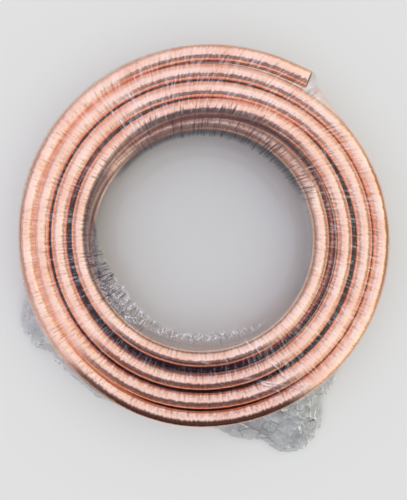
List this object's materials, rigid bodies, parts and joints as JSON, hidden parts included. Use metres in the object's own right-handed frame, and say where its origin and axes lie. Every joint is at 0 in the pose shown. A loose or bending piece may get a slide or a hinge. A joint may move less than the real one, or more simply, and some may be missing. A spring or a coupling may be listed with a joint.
{
  "type": "copper tube coil",
  "caption": "Flat coil of soft copper tube wound in layers, shrink-wrapped in clear film and lying on its side face as sold by the roll",
  "frame": {"origin": "centre of the coil's axis in the plane of the film's flat underside", "axes": "+Z is the coil's axis, upward; +Y points away from the gathered film tail, towards the top of the picture; +X completes the set"},
  "size_m": [0.52, 0.563, 0.0691],
  "materials": {
    "copper": "soft drawn copper, bright with a faint brown tarnish",
    "film": "clear polyolefin shrink film with fine wrinkles"
  },
  "bodies": {
    "root": {"copper_tube": "copper", "shrink_film": "film"}
  },
  "joints": []
}
